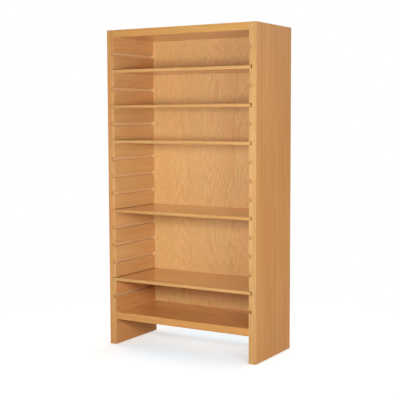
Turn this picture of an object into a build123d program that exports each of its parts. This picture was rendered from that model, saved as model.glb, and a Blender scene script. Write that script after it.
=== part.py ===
"""A tall veneered library bookcase with slotted sides, in millimetres.

Each side is a thick outer board faced on the inside with horizontal strips. The gaps between
the strips are grooves that run from the front to the back, and loose shelves slide into them.
A top panel and a bottom panel, dowelled and glued between the sides, and a stapled back hold
the case square. It stands on small nail-on glides.

The frame: X across the front, Y from the front to the back, Z up. The origin is the middle of
the footprint, on the floor. The right side is at +X, and the left side is its mirror image.
"""
from build123d import *
import os

# --- the case as a whole ---
overall_width = 950.0
overall_depth = 420.0
overall_height = 1800.0
floor_space = 150.0          # clear height under the bottom panel

# --- boards ---
outer_board = 25.0           # thickness of a side's outer board
strip_thickness = 18.0       # thickness of the strips on its inner face, so the grooves' depth
panel_thickness = 40.0       # top and bottom panels
back_thickness = 9.0
back_inset = 1.0             # from the outer boards' rear edges to the back panel
back_play = 0.5              # between the back panel and what is beside and under it

# --- solid wood lippings on the front edges ---
lipping = 5.0                # depth of every lipping, front to back
case_arris = 1.0             # small chamfer along the case's lippings
shelf_rounding = 2.0         # radius of the shelves' front edges

# --- grooves and shelves ---
groove_count = 15
top_drop = 80.0              # from the top panel down to the first groove
bottom_rise = 84.0           # from the bottom panel up to the last groove
shelf_thickness = 17.0
groove_play = 3.0            # a groove's height over a shelf's thickness
shelf_left_gap = 1.0         # from a shelf's left end to the outer board behind the groove
shelf_right_gap = 8.0        # the same at its right end, as the shelves are pushed to the left
shelf_back_gap = 2.0         # from a shelf to the back panel
shelf_setback = 1.0          # from the case's front to a shelf's front edge
shelf_grooves = (2, 4, 6, 10, 14)   # the grooves that hold shelves, counted from the top

# --- dowels between the sides and the two panels ---
dowel_diameter = 8.0
dowel_length = 40.0
dowel_skin = 3.0             # from a dowel's end to the outer board
dowel_edge = 45.0            # from a panel's front and rear edges to its outer dowels
dowel_count = 3              # in each joint

# --- staples that hold the back ---
staple_crown = 11.0          # outer width of the crown
staple_length = 28.0         # from the crown's outer face to the tips of the legs
staple_wire = 1.3            # width of the flat wire
staple_gauge = 1.1           # thickness of the flat wire
staple_count = 5             # along the top panel, and along the bottom panel
staple_end = 62.0            # from a panel's end to its first staple
strips_per_staple = 3        # a staple in every third strip of a side

# --- glides ---
glide_diameter = 20.0
glide_height = 2.0
glide_chamfer = 0.6
glide_edge = 32.0            # from the case's front and rear to the middle of a glide
pin_diameter = 2.6
pin_length = 16.0

# --- fits ---
slip = 0.05                  # clearance of a pin, dowel or staple in its hole, on each side
hole_extra = 1.0             # depth of a blind hole past the end of what it holds

# --- planes worked out from the sizes above ---
case_half = overall_width / 2
board_x = case_half - outer_board            # inner face of an outer board
clear_x = board_x - strip_thickness          # inner face of the strips
front_y = -overall_depth / 2
rear_y = overall_depth / 2
core_front_y = front_y + lipping             # boards start behind their lippings
back_rear_y = rear_y - back_inset
back_front_y = back_rear_y - back_thickness
foot_z = glide_height
bottom_under_z = floor_space
bottom_top_z = bottom_under_z + panel_thickness
top_under_z = overall_height - panel_thickness
groove_height = shelf_thickness + groove_play
first_groove_z = top_under_z - top_drop - groove_height       # a groove's lower face
last_groove_z = bottom_top_z + bottom_rise
groove_pitch = (first_groove_z - last_groove_z) / (groove_count - 1)
strip_count = groove_count + 1
strip_mid_x = (clear_x + board_x) / 2
board_mid_x = (board_x + case_half) / 2
shelf_front_y = front_y + shelf_setback
shelf_rear_y = back_front_y - shelf_back_gap
shelf_left_x = -board_x + shelf_left_gap
shelf_right_x = board_x - shelf_right_gap
shelf_mid_x = (shelf_left_x + shelf_right_x) / 2


def block(x0, x1, y0, y1, z0, z1):
    """A box between two corners."""
    return Pos(x0, y0, z0) * Box(x1 - x0, y1 - y0, z1 - z0, align=(Align.MIN,) * 3)


def rod(radius, start, end):
    """A cylinder from one point to another."""
    axis = Vector(*end) - Vector(*start)
    plane = Plane(origin=start, z_dir=axis.normalized())
    return plane * Cylinder(radius, axis.length, align=(Align.CENTER, Align.CENTER, Align.MIN))


def mirrored(part):
    """The left side's copy of a piece on the right."""
    return mirror(part, about=Plane.YZ)


def edges_at(part, *points):
    """The edges whose middles lie at these points."""
    return [part.edges().sort_by_distance(point)[0] for point in points]


def between(first, last, count):
    """Evenly spaced places from first to last, or the middle if there is only one."""
    if count == 1:
        return [(first + last) / 2]
    return [first + (last - first) * i / (count - 1) for i in range(count)]


def group(parts):
    """Separate solids as one shape."""
    return Compound(children=[piece for part in parts for piece in part.solids()])


# --- heights of the grooves and strips ---
def groove_z(number):
    """The lower face of a groove, counted from 1 at the top."""
    return first_groove_z - (number - 1) * groove_pitch


def strip_span(number):
    """The lowest and highest z of a strip. Strip 1 is at the top, above the first groove."""
    low = foot_z if number == strip_count else groove_z(number) + groove_height
    high = overall_height if number == 1 else groove_z(number - 1)
    return low, high


# --- dowels ---
dowel_ys = between(core_front_y + dowel_edge, back_front_y - dowel_edge, dowel_count)
top_joint_z = (top_under_z + overall_height) / 2
bottom_joint_z = (bottom_under_z + bottom_top_z) / 2


def dowel(y, z):
    """A dowel in a joint on the right."""
    start = board_x - dowel_skin
    return rod(dowel_diameter / 2, (start, y, z), (start - dowel_length, y, z))


def dowel_hole(y, z):
    start = board_x - dowel_skin + hole_extra
    length = dowel_length + 2 * hole_extra
    return rod(dowel_diameter / 2 + slip, (start, y, z), (start - length, y, z))


# --- staples ---
def staple(x, z, upright, gap=0.0):
    """A staple driven in from the rear, level with the back, or with gap the slots for it."""
    half = staple_crown / 2 + gap
    wire = staple_wire / 2 + gap
    tip_y = back_rear_y - staple_length - (hole_extra if gap else 0.0)
    inner = staple_crown / 2 - staple_gauge - gap
    crown_y = back_rear_y - staple_gauge - gap
    lying = block(-half, half, tip_y, back_rear_y, -wire, wire)
    lying -= block(-inner, inner, tip_y, crown_y, -wire, wire)
    turn = Rot(0, 90, 0) if upright else Rot(0, 0, 0)
    return Pos(x, 0, z) * turn * lying


def panel_staple_places():
    xs = between(staple_end - clear_x, clear_x - staple_end, staple_count)
    return [(x, z) for z in (top_joint_z, bottom_joint_z) for x in xs]


def strip_staple_z(number):
    """The height of a strip's staple, in the middle of what the back panel covers."""
    low, high = strip_span(number)
    return (max(low, bottom_under_z) + high) / 2


stapled_strips = sorted({*range(1, strip_count, strips_per_staple), strip_count})


# --- glides ---
glide_ys = between(front_y + glide_edge, rear_y - glide_edge, 2)


def glide(x, y):
    pad = rod(glide_diameter / 2, (x, y, 0), (x, y, glide_height))
    rim = pad.edges().filter_by(GeomType.CIRCLE).sort_by(Axis.Z)[0]
    return chamfer(rim, glide_chamfer)


def glide_pin(x, y):
    return rod(pin_diameter / 2, (x, y, glide_height), (x, y, glide_height + pin_length))


def pin_hole(x, y):
    depth = pin_length + hole_extra
    return rod(pin_diameter / 2 + slip, (x, y, glide_height), (x, y, glide_height + depth))


# --- the sides ---
def outer_side_board():
    board = block(board_x, case_half, core_front_y, rear_y, foot_z, overall_height)
    mid_z = (foot_z + overall_height) / 2
    board = chamfer(edges_at(board, (case_half, rear_y, mid_z)), case_arris)
    for y in glide_ys:
        board -= pin_hole(board_mid_x, y)
    return board


def outer_board_lipping():
    strip = block(board_x, case_half, front_y, core_front_y, foot_z, overall_height)
    mid_z = (foot_z + overall_height) / 2
    return chamfer(edges_at(strip, (case_half, front_y, mid_z)), case_arris)


def side_strip(number):
    """One of the strips between which the grooves run, drilled for its dowels and staple.

    The lowest one is the foot too, and under the back it runs on to the rear edge.
    """
    low, high = strip_span(number)
    strip = block(clear_x, board_x, core_front_y, back_front_y, low, high)
    if number == strip_count:
        under_back_z = bottom_under_z - back_play
        strip += block(clear_x, board_x, back_front_y, rear_y, foot_z, under_back_z)
    if number in stapled_strips:
        strip -= staple(strip_mid_x, strip_staple_z(number), True, slip)
    joints = {1: top_joint_z, strip_count: bottom_joint_z}
    if number in joints:
        for y in dowel_ys:
            strip -= dowel_hole(y, joints[number])
    return strip


def strip_lipping(number):
    low, high = strip_span(number)
    strip = block(clear_x, board_x, front_y, core_front_y, low, high)
    return chamfer(edges_at(strip, (clear_x, front_y, (low + high) / 2)), case_arris)


# --- the fixed panels and the back ---
def fixed_panel(low):
    """The top or the bottom panel, drilled in its ends and slotted in its rear edge."""
    high = low + panel_thickness
    joint_z = (low + high) / 2
    panel = block(-clear_x, clear_x, core_front_y, back_front_y, low, high)
    for y in dowel_ys:
        hole = dowel_hole(y, joint_z)
        panel -= hole
        panel -= mirrored(hole)
    for x, z in panel_staple_places():
        if z == joint_z:
            panel -= staple(x, z, False, slip)
    return panel


def panel_lipping(low):
    high = low + panel_thickness
    strip = block(-clear_x, clear_x, front_y, core_front_y, low, high)
    return chamfer(edges_at(strip, (0, front_y, low), (0, front_y, high)), case_arris)


def back_panel():
    half = board_x - back_play
    panel = block(-half, half, back_front_y, back_rear_y, bottom_under_z, overall_height)
    for x, z in panel_staple_places():
        panel -= staple(x, z, False, slip)
    for number in stapled_strips:
        slots = staple(strip_mid_x, strip_staple_z(number), True, slip)
        panel -= slots
        panel -= mirrored(slots)
    return panel


# --- the loose shelves ---
def shelf_board(groove):
    low = groove_z(groove)
    front = shelf_front_y + lipping
    return block(shelf_left_x, shelf_right_x, front, shelf_rear_y, low, low + shelf_thickness)


def shelf_lipping(groove):
    low = groove_z(groove)
    high = low + shelf_thickness
    rear = shelf_front_y + lipping
    strip = block(shelf_left_x, shelf_right_x, shelf_front_y, rear, low, high)
    middles = [(shelf_mid_x, shelf_front_y, z) for z in (low, high)]
    return fillet(edges_at(strip, *middles), shelf_rounding)


# --- every node ---
def side_nodes(side, place):
    """The boards, strips and lippings of one side, where place puts them on that side."""
    numbers = range(1, strip_count + 1)
    made = {
        f"{side}_outer_board": place(outer_side_board()),
        f"{side}_board_lipping": place(outer_board_lipping()),
        f"{side}_strip_lippings": group([place(strip_lipping(number)) for number in numbers]),
    }
    for number in numbers:
        made[f"{side}_strip_{number:02d}"] = place(side_strip(number))
    return made


def panel_nodes():
    return {
        "top_panel": fixed_panel(top_under_z),
        "top_lipping": panel_lipping(top_under_z),
        "bottom_panel": fixed_panel(bottom_under_z),
        "bottom_lipping": panel_lipping(bottom_under_z),
        "back_panel": back_panel(),
    }


def shelf_nodes():
    made = {}
    used_grooves = [groove for groove in shelf_grooves if groove <= groove_count]
    for shelf, groove in enumerate(used_grooves, start=1):
        made[f"shelf_{shelf}"] = shelf_board(groove)
        made[f"shelf_{shelf}_lipping"] = shelf_lipping(groove)
    return made


def fastener_nodes():
    dowels = [dowel(y, z) for y in dowel_ys for z in (top_joint_z, bottom_joint_z)]
    staples = [staple(x, z, False) for x, z in panel_staple_places()]
    for number in stapled_strips:
        upright = staple(strip_mid_x, strip_staple_z(number), True)
        staples += [upright, mirrored(upright)]
    feet = [(x, y) for x in (board_mid_x, -board_mid_x) for y in glide_ys]
    return {
        "dowels": group(dowels + [mirrored(part) for part in dowels]),
        "back_staples": group(staples),
        "glides": group([glide(x, y) for x, y in feet]),
        "glide_pins": group([glide_pin(x, y) for x, y in feet]),
    }


nodes = {
    **side_nodes("right", lambda part: part),
    **side_nodes("left", mirrored),
    **panel_nodes(),
    **shelf_nodes(),
    **fastener_nodes(),
}
os.makedirs("parts", exist_ok=True)
for name, shape in nodes.items():
    export_step(shape, f"parts/{name}.step")
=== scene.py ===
import math

import bpy
from mathutils import Euler, Matrix, Vector


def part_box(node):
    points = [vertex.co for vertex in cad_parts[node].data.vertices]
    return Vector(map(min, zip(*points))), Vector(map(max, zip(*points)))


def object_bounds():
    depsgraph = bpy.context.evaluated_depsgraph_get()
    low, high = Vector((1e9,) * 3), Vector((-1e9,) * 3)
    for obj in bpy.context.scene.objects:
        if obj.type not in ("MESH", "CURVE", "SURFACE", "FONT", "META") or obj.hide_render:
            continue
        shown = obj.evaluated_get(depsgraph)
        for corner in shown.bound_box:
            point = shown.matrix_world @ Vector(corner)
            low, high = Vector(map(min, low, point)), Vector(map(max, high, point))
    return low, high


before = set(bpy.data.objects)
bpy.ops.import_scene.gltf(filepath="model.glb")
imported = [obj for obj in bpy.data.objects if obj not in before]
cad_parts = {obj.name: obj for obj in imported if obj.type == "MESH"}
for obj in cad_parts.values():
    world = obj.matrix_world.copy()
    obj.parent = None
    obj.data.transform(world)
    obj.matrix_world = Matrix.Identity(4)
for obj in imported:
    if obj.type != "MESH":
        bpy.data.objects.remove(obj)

cad_low, cad_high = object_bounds()

WHITE = (1.0, 1.0, 1.0, 1.0)
BLACK = (0.0, 0.0, 0.0, 1.0)


# ---------------------------------------------------------------- node helpers
class Tree:
    """A node tree that is filled with few words. Inputs take a value or another node's socket."""

    def __init__(self, tree):
        self.tree = tree
        tree.nodes.clear()

    def put(self, node, socket, value):
        target = node.inputs[socket]
        if isinstance(value, bpy.types.NodeSocket):
            self.tree.links.new(value, target)
        else:
            target.default_value = value

    def add(self, kind, settings=None, **inputs):
        """A new node. Inputs are named by socket, with _ for a space."""
        node = self.tree.nodes.new(kind)
        for name, value in (settings or {}).items():
            setattr(node, name, value)
        for name, value in inputs.items():
            self.put(node, name.replace("_", " "), value)
        return node

    def math(self, operation, *values):
        """The result of one operation on floats."""
        node = self.add("ShaderNodeMath", {"operation": operation})
        for index, value in enumerate(values):
            self.put(node, index, value)
        return node.outputs[0]

    def total(self, *values):
        result = values[0]
        for value in values[1:]:
            result = self.math("ADD", result, value)
        return result

    def times(self, first, second):
        return self.math("MULTIPLY", first, second)

    def centred(self, value, gain):
        """A 0 to 1 value as one about 0, times gain."""
        return self.times(self.math("SUBTRACT", value, 0.5), gain)

    def ramp(self, value, start, end):
        """A smooth step from 0 at start to 1 at end, which can be the lower of the two."""
        node = self.add("ShaderNodeMapRange", {"interpolation_type": "SMOOTHSTEP"})
        for index, part in enumerate((value, start, end, 0.0, 1.0)):
            self.put(node, index, part)
        return node.outputs[0]

    def mix(self, factor, first, second, blend="MIX"):
        """Two colours as one. The node has sockets for each type of data: these are the colours'."""
        node = self.add("ShaderNodeMix", {"data_type": "RGBA", "blend_type": blend})
        self.put(node, 0, factor)
        self.put(node, 6, first)
        self.put(node, 7, second)
        return node.outputs[2]

    def vector(self, x, y, z):
        return self.add("ShaderNodeCombineXYZ", X=x, Y=y, Z=z).outputs[0]

    def axes(self, vector):
        return self.add("ShaderNodeSeparateXYZ", Vector=vector).outputs

    def noise(self, vector, detail, roughness, scale=1.0):
        node = self.add("ShaderNodeTexNoise", Vector=vector, Scale=scale, Detail=detail,
                        Roughness=roughness)
        return node.outputs["Fac"]


def new_group(name, inputs, outputs):
    """A node group. Inputs and outputs are floats, apart from Position, Low and High."""
    tree = bpy.data.node_groups.new(name, "ShaderNodeTree")
    vectors = ("Position", "Low", "High")
    for direction, sockets in (("INPUT", inputs), ("OUTPUT", outputs)):
        for socket in sockets:
            kind = "NodeSocketVector" if socket in vectors else "NodeSocketFloat"
            tree.interface.new_socket(socket, in_out=direction, socket_type=kind)
    t = Tree(tree)
    return tree, t, t.add("NodeGroupInput").outputs, t.add("NodeGroupOutput")


def new_material(name):
    material = bpy.data.materials.new(name)
    material.use_nodes = True
    return material, Tree(material.node_tree)


def shade(colour, red, green, blue):
    """A colour with each channel times its own factor."""
    return colour[0] * red, colour[1] * green, colour[2] * blue, 1.0


# ---------------------------------------------------------------- wood: its grain
# noises in the wood: cells to the metre along and across the grain, detail and roughness
NOISES = {
    "ring_field": (0.85, 6.5, 1.0, 0.4),
    "ring_ripple": (10.0, 34.0, 2.0, 0.5),
    "fibres": (3.2, 260.0, 3.0, 0.62),
    "bands": (1.3, 42.0, 2.0, 0.5),
    "drift": (0.9, 9.0, 2.0, 0.5),
    "dashes": (26.0, 190.0, 2.0, 0.55),
    "pores": (130.0, 2100.0, 1.0, 0.5),
    "hue": (2.2, 15.0, 2.0, 0.5),
}
# how much light and dark each brings, and how far each stands up in the relief
DEPTH = {"rings": 0.34, "fibres": 0.75, "bands": 0.75, "drift": 0.8, "dashes": 1.0, "leaf": 0.10}
RELIEF = {"fibres": 0.7, "rings": 0.15, "marks": -0.9}

RINGS_PER_METRE = 34.0
RING_WANDER = 15.0            # how many rings' width the slow field moves a ring
RING_WAVER = 0.9              # and the ripple
LATE_POWER = 1.8              # how thin a ring's dark late wood is
LATE_NEUTRAL = 0.36           # the level of late wood that leaves the tone as it is
EARLY_WOOD = (0.75, 0.15)     # levels of late wood at which a ring's early wood starts and is full
PORES_IN_LATE = 0.3           # the share of the pores' strength that late wood keeps
PORE_STEP = (0.56, 0.68)      # levels of noise at which a pore starts and is full
FLECK_STEP = (0.62, 0.76)     # the same for a dark fleck
PORE_MARK = 0.7
FLECK_MARK = 0.4
LEAF_SHIFT = (3.7, 0.73)      # the most that a leaf is moved along and across, in metres
SEED_SHIFT = 1.31             # metres along that a seed of 1 moves it
WIDE_LEAF = 5.0               # wider than any board, for wood that isn't laid in leaves


def wood_group():
    """Oak-like wood in metres, solid in all three directions, with its grain along X.

    Rings is how closely the growth rings lie, Figure how strong they are, and Streaks how strong the
    long bands and fibres are. Tone is light and dark about 0.5. Mark is the mask of pores and dark
    flecks. Warm is a slow change of hue. Height is the relief under the lacquer.
    """
    inputs = ("Position", "Seed", "Leaf", "Rings", "Figure", "Streaks", "Dashes")
    tree, t, given, out = new_group("wood", inputs, ("Tone", "Mark", "Warm", "Height"))
    along, across, deep = t.axes(given["Position"])[:3]
    seed = given["Seed"]

    # leaves of veneer: each is cut from another place
    leaf = t.math("FLOOR", t.total(t.math("DIVIDE", across, given["Leaf"]), seed))
    cell = t.vector(leaf, seed, 0.0)
    draw = t.add("ShaderNodeTexWhiteNoise", {"noise_dimensions": "2D"}, Vector=cell)
    pick = draw.outputs["Value"]
    along = t.total(along, t.times(pick, LEAF_SHIFT[0]), t.times(seed, SEED_SHIFT))
    across = t.total(across, t.times(pick, LEAF_SHIFT[1]))

    noise = {}
    for name, (per_along, per_across, detail, roughness) in NOISES.items():
        x = t.times(along, per_along)
        y = t.times(across, per_across)
        z = t.times(deep, per_across)
        noise[name] = t.noise(t.vector(x, y, z), detail, roughness)

    # growth rings: contour lines of a slow field, long along the grain
    phase = t.total(t.times(noise["ring_field"], RING_WANDER), t.times(across, RINGS_PER_METRE))
    phase = t.total(t.times(phase, given["Rings"]), t.centred(noise["ring_ripple"], RING_WAVER))
    wave = t.math("SINE", t.times(phase, 2 * math.pi))
    late = t.math("POWER", t.total(t.times(wave, 0.5), 0.5), LATE_POWER)
    rings = t.times(t.math("SUBTRACT", LATE_NEUTRAL, late), t.times(given["Figure"], DEPTH["rings"]))

    streaks = t.total(*(t.centred(noise[name], DEPTH[name]) for name in ("fibres", "bands", "drift")))
    streaks = t.times(streaks, given["Streaks"])
    dashes = t.times(t.centred(noise["dashes"], DEPTH["dashes"]), given["Dashes"])
    tone = t.total(0.5, rings, streaks, dashes, t.centred(pick, DEPTH["leaf"]))

    # pores lie mostly in the early wood, and flecks anywhere
    early = t.ramp(late, *EARLY_WOOD)
    strength = t.total(t.times(early, 1 - PORES_IN_LATE), PORES_IN_LATE)
    pores = t.times(t.ramp(noise["pores"], *PORE_STEP), strength)
    flecks = t.times(t.ramp(noise["dashes"], *FLECK_STEP), given["Dashes"])
    mark = t.math("MAXIMUM", t.times(pores, PORE_MARK), t.times(flecks, FLECK_MARK))

    height = t.total(t.centred(noise["fibres"], RELIEF["fibres"]), t.times(late, RELIEF["rings"]),
                     t.times(mark, RELIEF["marks"]))
    t.put(out, "Tone", tone)
    t.put(out, "Mark", mark)
    t.put(out, "Warm", noise["hue"])
    t.put(out, "Height", height)
    return tree


def edge_group():
    """How near a point of a board's surface is to an edge of the board, as 1 at the edge to 0."""
    tree, t, given, out = new_group("edge", ("Position", "Low", "High", "Reach"), ("Edge",))
    spot, low, high = (t.axes(given[name]) for name in ("Position", "Low", "High"))
    gaps = []
    for axis in range(3):
        to_low = t.math("SUBTRACT", spot[axis], low[axis])
        to_high = t.math("SUBTRACT", high[axis], spot[axis])
        gaps.append(t.math("MINIMUM", to_low, to_high))
    # the nearest face is the one that the point is on, so the edge is as far as the middle gap
    least = t.math("MINIMUM", gaps[0], gaps[1])
    most = t.math("MAXIMUM", gaps[0], gaps[1])
    middle = t.math("MAXIMUM", least, t.math("MINIMUM", most, gaps[2]))
    t.put(out, "Edge", t.ramp(middle, given["Reach"], 0.0))
    return tree


WOOD = wood_group()
EDGE = edge_group()


# ---------------------------------------------------------------- wood: its colour and finish
# factors for a wood's red, green and blue
DARKER = (-0.16, -0.31, -0.47)        # what the darkest grain adds to 1
LIGHTER = (0.14, 0.27, 0.42)          # and the lightest
ROSY = (1.02, 0.97, 0.98, 1.0)
OLIVE = (0.98, 1.01, 1.0, 1.0)
MARKED = (0.62, 0.42, 0.24)
RUBBED = (1.30, 1.36, 1.45)
HUE_STEP = (0.3, 0.7)                 # levels of the hue noise at which wood is olive, and rosy
MARK_STRENGTH = 0.40
RUB_STRENGTH = 0.30
RUB_REACH = 0.0045                    # metres from an edge that hands and shelves rub
RUB_PATCHES = 38.0                    # cells to the metre
RUB_STEP = (0.40, 0.62)               # levels of noise at which a patch starts and is full
SMEARS = 5.5                          # cells to the metre of the lacquer's uneven gloss

# roughness: the lacquer's own, and what each thing changes
LACQUER = 0.46
SMEARED = 0.16
GRAINED = -0.10
WORN = 0.10
UNLACQUERED = 0.28

GRAIN_BUMP = {"Strength": 0.30, "Distance": 0.0004}
WOOD_IOR = 1.5
COAT_ROUGHNESS = 0.2

# wood that was never lacquered, and factors for its grain, its marks and a groove's painted shade
RAW_WOOD = (0.775, 0.505, 0.252)
RAW_DARK = (0.88, 0.86, 0.82)
RAW_LIGHT = (1.10, 1.12, 1.15)
RAW_MARKED = (0.6, 0.5, 0.4)
RAW_MARK_STRENGTH = 0.35
# painted shade: a groove's bare wood is painted darker towards its corners
GROOVE_CORNER_SHADE = (0.74, 0.66, 0.56, 1.0)
SPRAY_REACH = 0.016                   # metres from the front over which a groove's lacquer fades
CORNER_SHARE = 0.45                   # how far from its middle, as a share of half its height, a
                                      # groove starts to darken
FACE_SLACK = 0.0003                   # metres within which a point is on a side's inner face
TOP_SLACK = 0.001                     # and on the case's top


def inner_face(node):
    """Where a side board's inner face is, along X."""
    low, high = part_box(node)
    return min(low.x, high.x, key=abs)


def groove_masks(t, spot, node):
    """Two masks for a side board's inner face, as the grooves show it.

    Bare is 1 behind the front edge, where no lacquer was sprayed. Middle is 1 halfway up a groove, and
    0 in its corners, where shade is painted on as a darker colour.
    """
    side = node.split("_")[0]
    strips = [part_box(f"{side}_strip_{number:02d}") for number in (1, 2, 3)]
    roof, sill = strips[0][0].z, strips[1][1].z
    pitch = sill - strips[2][1].z
    turns = t.math("DIVIDE", t.math("SUBTRACT", spot[2], (roof + sill) / 2), pitch)
    off = t.times(t.math("ABSOLUTE", t.math("SUBTRACT", turns, t.math("ROUND", turns))), pitch)
    half = (roof - sill) / 2
    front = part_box(node)[0].y
    bare = t.ramp(spot[1], front, front + SPRAY_REACH)
    return bare, t.ramp(off, half, half * CORNER_SHARE)


def lacquered(t, tone, mark, warm, colour, contrast):
    """The colour of lacquered wood, from the masks of its grain."""
    dark = shade(colour, *(1 + contrast * part for part in DARKER))
    light = shade(colour, *(1 + contrast * part for part in LIGHTER))
    paint = t.mix(tone, dark, light)
    rosy = t.mix(1.0, paint, ROSY, "MULTIPLY")
    olive = t.mix(1.0, paint, OLIVE, "MULTIPLY")
    paint = t.mix(t.ramp(warm, *HUE_STEP), olive, rosy)
    return t.mix(t.times(mark, MARK_STRENGTH * contrast), paint, shade(colour, *MARKED))


def unlacquered(t, tone, mark):
    """The colour of bare wood, from the masks of its grain."""
    sawn = t.mix(tone, shade(RAW_WOOD, *RAW_DARK), shade(RAW_WOOD, *RAW_LIGHT))
    return t.mix(t.times(mark, RAW_MARK_STRENGTH), sawn, shade(RAW_WOOD, *RAW_MARKED))


def bare_wood(t, coords, spot, node, raw, sawn):
    """Where a node's wood is bare, and its colour there. raw is as in wood_material."""
    if raw == "inside":
        reach = abs(inner_face(node)) + FACE_SLACK
        inside = t.math("LESS_THAN", t.math("ABSOLUTE", spot[0]), reach)
        behind, middle = groove_masks(t, spot, node)
        # painted shade: the bare wood is darkened towards the groove's corners
        corner = t.mix(1.0, sawn, GROOVE_CORNER_SHADE, "MULTIPLY")
        return t.times(inside, behind), t.mix(middle, corner, sawn)
    if raw == "ends":
        strips_face = inner_face("right_strip_01")
        return t.math("GREATER_THAN", t.math("ABSOLUTE", spot[0]), strips_face), sawn
    facing = t.axes(coords["Normal"])
    level_or_rear = t.math("MAXIMUM", t.math("ABSOLUTE", facing[2]), facing[1])
    below = t.math("LESS_THAN", spot[2], cad_high[2] - TOP_SLACK)
    return t.times(t.math("GREATER_THAN", level_or_rear, 0.5), below), sawn


def rubbed_edges(t, place, node):
    """A mask of the edges, in patches."""
    low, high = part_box(node)
    edge = t.add("ShaderNodeGroup", {"node_tree": EDGE}, Position=place, Low=low, High=high,
                 Reach=RUB_REACH)
    patches = t.ramp(t.noise(place, detail=2.0, roughness=0.6, scale=RUB_PATCHES), *RUB_STEP)
    return t.times(edge.outputs["Edge"], patches)


def wood_material(node, grain, across, colour, seed, rings=1.0, figure=0.25, streaks=1.0, dashes=0.4,
                  leaf=WIDE_LEAF, contrast=1.0, specular=0.3, coat=0.1, lean=0.0, raw=None):
    """Lacquered wood for one CAD node. The grain runs along one axis and across another.

    lean is how much lighter and less red the wood gets over a metre across.
    raw names what is bare wood instead: "inside" for a side board's inner face, "ends" for the ends
    of the back panel behind the strips, "cut" for the faces that look up, down or back, other than
    the case's own top.
    """
    material, t = new_material(f"{node}_wood")
    coords = t.add("ShaderNodeTexCoord").outputs
    spot = t.axes(coords["Object"])
    first, second = "XYZ".index(grain), "XYZ".index(across)
    third = 3 - first - second
    placed = t.vector(spot[first], spot[second], spot[third])
    wood = t.add("ShaderNodeGroup", {"node_tree": WOOD}, Position=placed, Seed=seed, Leaf=leaf,
                 Rings=rings, Figure=figure, Streaks=streaks, Dashes=dashes)
    tone, mark, warm, height = (wood.outputs[name] for name in ("Tone", "Mark", "Warm", "Height"))
    # lean paints a tone that changes across the board; on the back it is painted shade
    tone = t.total(tone, t.times(spot[second], lean))
    warm = t.math("SUBTRACT", warm, t.times(spot[second], lean))
    paint = lacquered(t, tone, mark, warm, colour, contrast)

    # edges are rubbed a little paler where hands and shelves touch them
    worn = rubbed_edges(t, coords["Object"], node)
    paint = t.mix(t.times(worn, RUB_STRENGTH), paint, shade(colour, *RUBBED))
    smears = t.noise(coords["Object"], detail=3.0, roughness=0.55, scale=SMEARS)
    gloss = t.total(LACQUER, t.centred(smears, SMEARED), t.centred(tone, GRAINED), t.times(worn, WORN))

    if raw:
        bare, sawn = bare_wood(t, coords, spot, node, raw, unlacquered(t, tone, mark))
        paint = t.mix(bare, paint, sawn)
        gloss = t.total(gloss, t.times(bare, UNLACQUERED))

    bump = t.add("ShaderNodeBump", Height=height, **GRAIN_BUMP).outputs[0]
    shader = t.add("ShaderNodeBsdfPrincipled", Base_Color=paint, Roughness=gloss, Normal=bump,
                   IOR=WOOD_IOR, Specular_IOR_Level=specular, Coat_Weight=coat,
                   Coat_Roughness=COAT_ROUGHNESS)
    t.add("ShaderNodeOutputMaterial", Surface=shader.outputs[0])
    return material


def give(node, material):
    """Puts a material in every slot of a CAD node."""
    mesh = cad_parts[node].data
    if not mesh.materials:
        mesh.materials.append(material)
    for index in range(len(mesh.materials)):
        mesh.materials[index] = material


def panel(node, *args, **settings):
    give(node, wood_material(node, *args, **settings))


# ---------------------------------------------------------------- the case and its shelves
SIDE = (0.631, 0.297, 0.084)
SIDE_LIP = {"right": (0.570, 0.325, 0.115), "left": (0.580, 0.285, 0.088)}
# the strips' three tones hold painted shade: the upper and lowest ones are darker than the middle
UPPER_STRIP = (0.652, 0.360, 0.139)
MIDDLE_STRIP = (0.662, 0.392, 0.155)
LOWER_STRIP = (0.665, 0.335, 0.119)
TOP_BOARD = (0.758, 0.389, 0.145)
TOP_LIP = (0.611, 0.324, 0.093)
BOTTOM_BOARD = (0.789, 0.397, 0.124)
BOTTOM_LIP = (0.603, 0.286, 0.079)
BACK = (0.702, 0.430, 0.168)
SHELF = (0.770, 0.415, 0.153)
LOWEST_SHELF = (0.702, 0.356, 0.115)
SHELF_LIP = (0.568, 0.300, 0.097)
PALE_LIP = (0.602, 0.331, 0.114)

# how each kind of part is cut and finished
SIDE_CUT = {"streaks": 0.8, "dashes": 0.3, "contrast": 0.95, "specular": 0.15, "coat": 0.0}
STRIP_CUT = {"figure": 0.3, "streaks": 0.7, "dashes": 0.3}
STRIP_GLOSS = {"specular": 0.2, "coat": 0.4}
FOOT_GLOSS = {"specular": 0.05, "coat": 0.0}
UPRIGHT_LIP_CUT = {"figure": 0.2, "contrast": 1.4}
LEVEL_CUT = {"figure": 0.4, "leaf": 0.21, "coat": 1.0}
# painted shade: with its lean the back darkens and reddens towards the right side
BACK_CUT = {"rings": 1.6, "figure": 1.0, "streaks": 0.4, "dashes": 1.5, "leaf": 0.31, "contrast": 0.8,
            "coat": 0.4, "lean": -0.3}

STRIP_COUNT = 16
SHELF_COUNT = 5
FIRST_MIDDLE_STRIP = 5
FIRST_LOWER_STRIP = 15
STRIP_SPREAD = 0.035          # how much lighter or darker than its board a strip can be
STRIP_TURN = 2.4              # radians to a strip in the sine that spreads their levels


def strip_colour(number, seed):
    """Strips have three tones, the upper and lowest painted darker as shade,
    and differ by a few percent in tone.
    """
    # painted shade: the upper and lowest strips take the darker tones
    if number < FIRST_MIDDLE_STRIP:
        board = UPPER_STRIP
    elif number < FIRST_LOWER_STRIP:
        board = MIDDLE_STRIP
    else:
        board = LOWER_STRIP
    level = 1.0 + STRIP_SPREAD * math.sin(STRIP_TURN * number + seed)
    return shade(board, level, level, level)


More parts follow.
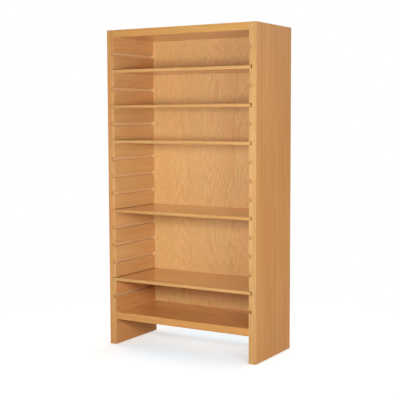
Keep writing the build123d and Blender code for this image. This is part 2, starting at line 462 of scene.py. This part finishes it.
# a seed picks the place in the wood that a board is cut from, so no two boards share one
FIRST_SIDE_SEED = 10.47
SIDE_SEED_STEP = 7.37
STRIP_SEED_STEP = 1.171
FIRST_SHELF_SEED = 63.37
SHELF_SEED_STEP = 3.37
# what a lipping's seed adds to its board's
BOARD_LIP_SEED = 1.3
STRIP_LIP_SEED = 2.9
SHELF_LIP_SEED = 1.4


def paint_sides():
    seed = FIRST_SIDE_SEED - SIDE_SEED_STEP
    for side in ("right", "left"):
        seed += SIDE_SEED_STEP
        panel(f"{side}_outer_board", "Z", "Y", SIDE, seed, raw="inside", **SIDE_CUT)
        panel(f"{side}_board_lipping", "Z", "X", SIDE_LIP[side], seed + BOARD_LIP_SEED,
              **UPRIGHT_LIP_CUT)
        panel(f"{side}_strip_lippings", "Z", "X", SIDE_LIP[side], seed + STRIP_LIP_SEED,
              **UPRIGHT_LIP_CUT)
        for number in range(1, STRIP_COUNT + 1):
            seed += STRIP_SEED_STEP
            # the lowest strip is the foot too, and duller
            finish = FOOT_GLOSS if number == STRIP_COUNT else STRIP_GLOSS
            panel(f"{side}_strip_{number:02d}", "Y", "Z", strip_colour(number, seed), seed, raw="cut",
                  **STRIP_CUT, **finish)


def paint_case():
    panel("top_panel", "X", "Y", TOP_BOARD, seed=41.3, **LEVEL_CUT)
    panel("bottom_panel", "X", "Y", BOTTOM_BOARD, seed=44.9, **LEVEL_CUT)
    panel("top_lipping", "X", "Z", TOP_LIP, seed=46.7)
    panel("bottom_lipping", "X", "Z", BOTTOM_LIP, seed=48.2)
    panel("back_panel", "Z", "X", BACK, seed=51.6, raw="ends", **BACK_CUT)


def paint_shelves():
    for number in range(1, SHELF_COUNT + 1):
        seed = FIRST_SHELF_SEED + SHELF_SEED_STEP * (number - 1)
        board = LOWEST_SHELF if number == SHELF_COUNT else SHELF
        lip = PALE_LIP if number in (1, SHELF_COUNT) else SHELF_LIP
        panel(f"shelf_{number}", "X", "Y", board, seed, **LEVEL_CUT)
        panel(f"shelf_{number}_lipping", "X", "Z", lip, seed + SHELF_LIP_SEED)


# ---------------------------------------------------------------- fasteners and glides
DOWEL = (0.62, 0.42, 0.24)
STAPLE_WIRE = (0.55, 0.55, 0.56)
PIN_STEEL = (0.50, 0.50, 0.51)
GLIDE_NYLON = (0.16, 0.11, 0.075)
FINER = 9                     # cells of the fine relief to one of the mottle
FINE_RELIEF = 0.0002
UNEVEN_GLOSS = 0.2


def plain_material(name, colour, roughness, metallic, spread, scale, bump):
    """Metal or plastic with a mottled colour, an uneven gloss and a fine relief.

    spread is how far the mottle goes from the colour, and scale its cells to the metre.
    """
    material, t = new_material(name)
    place = t.add("ShaderNodeTexCoord").outputs["Object"]
    mottle = t.noise(place, detail=3.0, roughness=0.6, scale=scale)
    fine = t.noise(place, detail=2.0, roughness=0.6, scale=scale * FINER)
    paint = t.mix(mottle, shade(colour, *[1 - spread] * 3), shade(colour, *[1 + spread] * 3))
    gloss = t.total(roughness, t.centred(mottle, UNEVEN_GLOSS))
    relief = t.add("ShaderNodeBump", Strength=bump, Distance=FINE_RELIEF, Height=fine).outputs[0]
    shader = t.add("ShaderNodeBsdfPrincipled", Base_Color=paint, Roughness=gloss, Normal=relief,
                   Metallic=metallic)
    t.add("ShaderNodeOutputMaterial", Surface=shader.outputs[0])
    return material


def paint_fasteners():
    panel("dowels", "X", "Z", DOWEL, seed=91.0, figure=0.2, coat=0.0)
    wire = plain_material("staple_wire", STAPLE_WIRE, roughness=0.38, metallic=1.0, spread=0.15,
                          scale=400.0, bump=0.2)
    steel = plain_material("pin_steel", PIN_STEEL, roughness=0.32, metallic=1.0, spread=0.12,
                           scale=300.0, bump=0.2)
    nylon = plain_material("glide_nylon", GLIDE_NYLON, roughness=0.5, metallic=0.0, spread=0.12,
                           scale=250.0, bump=0.35)
    give("back_staples", wire)
    give("glide_pins", steel)
    give("glides", nylon)


# ---------------------------------------------------------------- camera
CAMERA_AT = Vector((2.6811, -4.4736, 1.3128))
CAMERA_YAW = math.radians(30.845)
CAMERA_PITCH = math.radians(-5.154)
CAMERA_ROLL = math.radians(-0.208)
PICTURE_SIDE = 400            # in pixels
FOCAL_PIXELS = 922.94
SENSOR = 36.0                 # in millimetres


def add_camera():
    data = bpy.data.cameras.new("camera")
    data.sensor_width = SENSOR
    data.lens = FOCAL_PIXELS / PICTURE_SIDE * SENSOR
    camera = bpy.data.objects.new("camera", data)
    turn = Euler((math.pi / 2 + CAMERA_PITCH, 0, CAMERA_YAW)).to_matrix()
    turn = turn @ Matrix.Rotation(CAMERA_ROLL, 3, "Z")
    camera.matrix_world = Matrix.Translation(CAMERA_AT) @ turn.to_4x4()
    bpy.context.scene.collection.objects.link(camera)
    bpy.context.scene.camera = camera


# ---------------------------------------------------------------- lamps
WORLD_LEVEL = 0.15
AIM = (cad_low + cad_high) / 2        # the middle of the case
# name, bearing in degrees, then distance, height, width and tall in metres, and level
SOFTBOXES = (
    ("key", 15, 3.0, 1.30, 1.8, 0.58, 0.63),
    ("side", 52, 3.6, 1.25, 1.2, 0.6, 0.33),
    ("left", -50, 3.6, 1.0, 1.6, 1.0, 0.07),
    ("right", 90, 5.0, 1.6, 1.8, 1.4, 0.14),
    ("left_rear", -105, 5.0, 1.5, 2.4, 2.0, 0.40),
    ("rear", 180, 3.6, 2.2, 2.4, 1.6, 0.34),
    ("top", 180, 0.9, 4.6, 2.6, 2.6, 0.30),
)


def add_softbox(name, bearing, distance, height, width, tall, level):
    """A softbox so many degrees to the right of the front, aimed at the middle of the case.

    level is how bright a white face turned to it renders, with 1 as white.
    """
    turn = math.radians(bearing)
    place = Vector((distance * math.sin(turn), -distance * math.cos(turn), height))
    data = bpy.data.lights.new(name, "AREA")
    data.shape = "RECTANGLE"
    data.size = width
    data.size_y = tall
    data.energy = level * math.pi ** 2 * (place - AIM).length_squared
    light = bpy.data.objects.new(name, data)
    light.location = place
    light.rotation_euler = (AIM - place).to_track_quat("-Z", "Y").to_euler()
    bpy.context.scene.collection.objects.link(light)


def seen(t):
    """1 where the camera sees it, directly, in a reflection or through glass, and 0 for its light."""
    path = t.add("ShaderNodeLightPath").outputs
    direct = t.math("MAXIMUM", path["Is Camera Ray"], path["Is Glossy Ray"])
    return t.math("MAXIMUM", direct, path["Is Transmission Ray"])


def light_world(level):
    world = bpy.data.worlds.new("studio")
    world.use_nodes = True
    bpy.context.scene.world = world
    t = Tree(world.node_tree)
    strength = t.total(level, t.times(seen(t), 1.0 - level))
    background = t.add("ShaderNodeBackground", Color=WHITE, Strength=strength)
    t.add("ShaderNodeOutputWorld", Surface=background.outputs[0])


# ---------------------------------------------------------------- floor
FLOOR_HALF = 20.0                     # half of the floor's side
PAPER_DARK = (0.985, 0.985, 0.985, 1.0)
PAPER_MOTTLE = 3.0                    # cells to the metre
TONE_LIT = 0.6                        # the paper's tone to the light
TONE_SEEN = 0.86                      # its tone where it is seen near the case
GLOW_SEEN = 0.40                      # and its own glow there
FLOOR_FADE = (0.8, 1.6)               # metres from the case's middle where it starts turning white,
                                      # and where it is
COOL = (0.83, 0.99, 1.11, 1.0)        # its tint under the case
FAINT = (0.95, 0.98, 0.985, 1.0)      # and away from it
TINT_FADE = (0.30, 0.56)              # metres from the middle where one turns into the other


def floor_material():
    """White paper. To the light it has one tone. Where it is seen, it has another and a glow of its
    own, which turns to plain white away from the case.
    """
    material, t = new_material("floor_paper")
    visible = seen(t)
    place = t.add("ShaderNodeTexCoord").outputs["Object"]
    length = t.add("ShaderNodeVectorMath", {"operation": "LENGTH"}, Vector=place)
    distance = length.outputs["Value"]
    far = t.ramp(distance, *FLOOR_FADE)
    mottle = t.noise(place, detail=3.0, roughness=0.5, scale=PAPER_MOTTLE)
    paper = t.mix(mottle, PAPER_DARK, WHITE)
    near_tone = t.times(t.math("SUBTRACT", 1.0, far), TONE_SEEN)
    tone = t.total(TONE_LIT, t.times(visible, t.math("SUBTRACT", near_tone, TONE_LIT)))
    grey = t.mix(tone, BLACK, paper)
    # the light that the wood sends down is warm, so the paper under the case is tinted cool
    tint = t.mix(t.ramp(distance, *TINT_FADE), COOL, FAINT)
    grey = t.mix(visible, grey, t.mix(1.0, grey, tint, "MULTIPLY"))
    diffuse = t.add("ShaderNodeBsdfDiffuse", Color=grey)
    glow = t.total(GLOW_SEEN, t.times(far, 1.0 - GLOW_SEEN))
    emission = t.add("ShaderNodeEmission", Color=WHITE, Strength=t.times(visible, glow))
    both = t.add("ShaderNodeAddShader")
    t.put(both, 0, diffuse.outputs[0])
    t.put(both, 1, emission.outputs[0])
    t.add("ShaderNodeOutputMaterial", Surface=both.outputs[0])
    return material


def add_floor(half):
    mesh = bpy.data.meshes.new("floor")
    corners = [(-half, -half, 0), (half, -half, 0), (half, half, 0), (-half, half, 0)]
    mesh.from_pydata(corners, [], [(0, 1, 2, 3)])
    mesh.materials.append(floor_material())
    floor = bpy.data.objects.new("floor", mesh)
    bpy.context.scene.collection.objects.link(floor)


# ---------------------------------------------------------------- the scene
paint_sides()
paint_case()
paint_shelves()
paint_fasteners()
add_camera()
light_world(WORLD_LEVEL)
for softbox in SOFTBOXES:
    add_softbox(*softbox)
add_floor(FLOOR_HALF)

bpy.context.scene.view_settings.view_transform = "Standard"
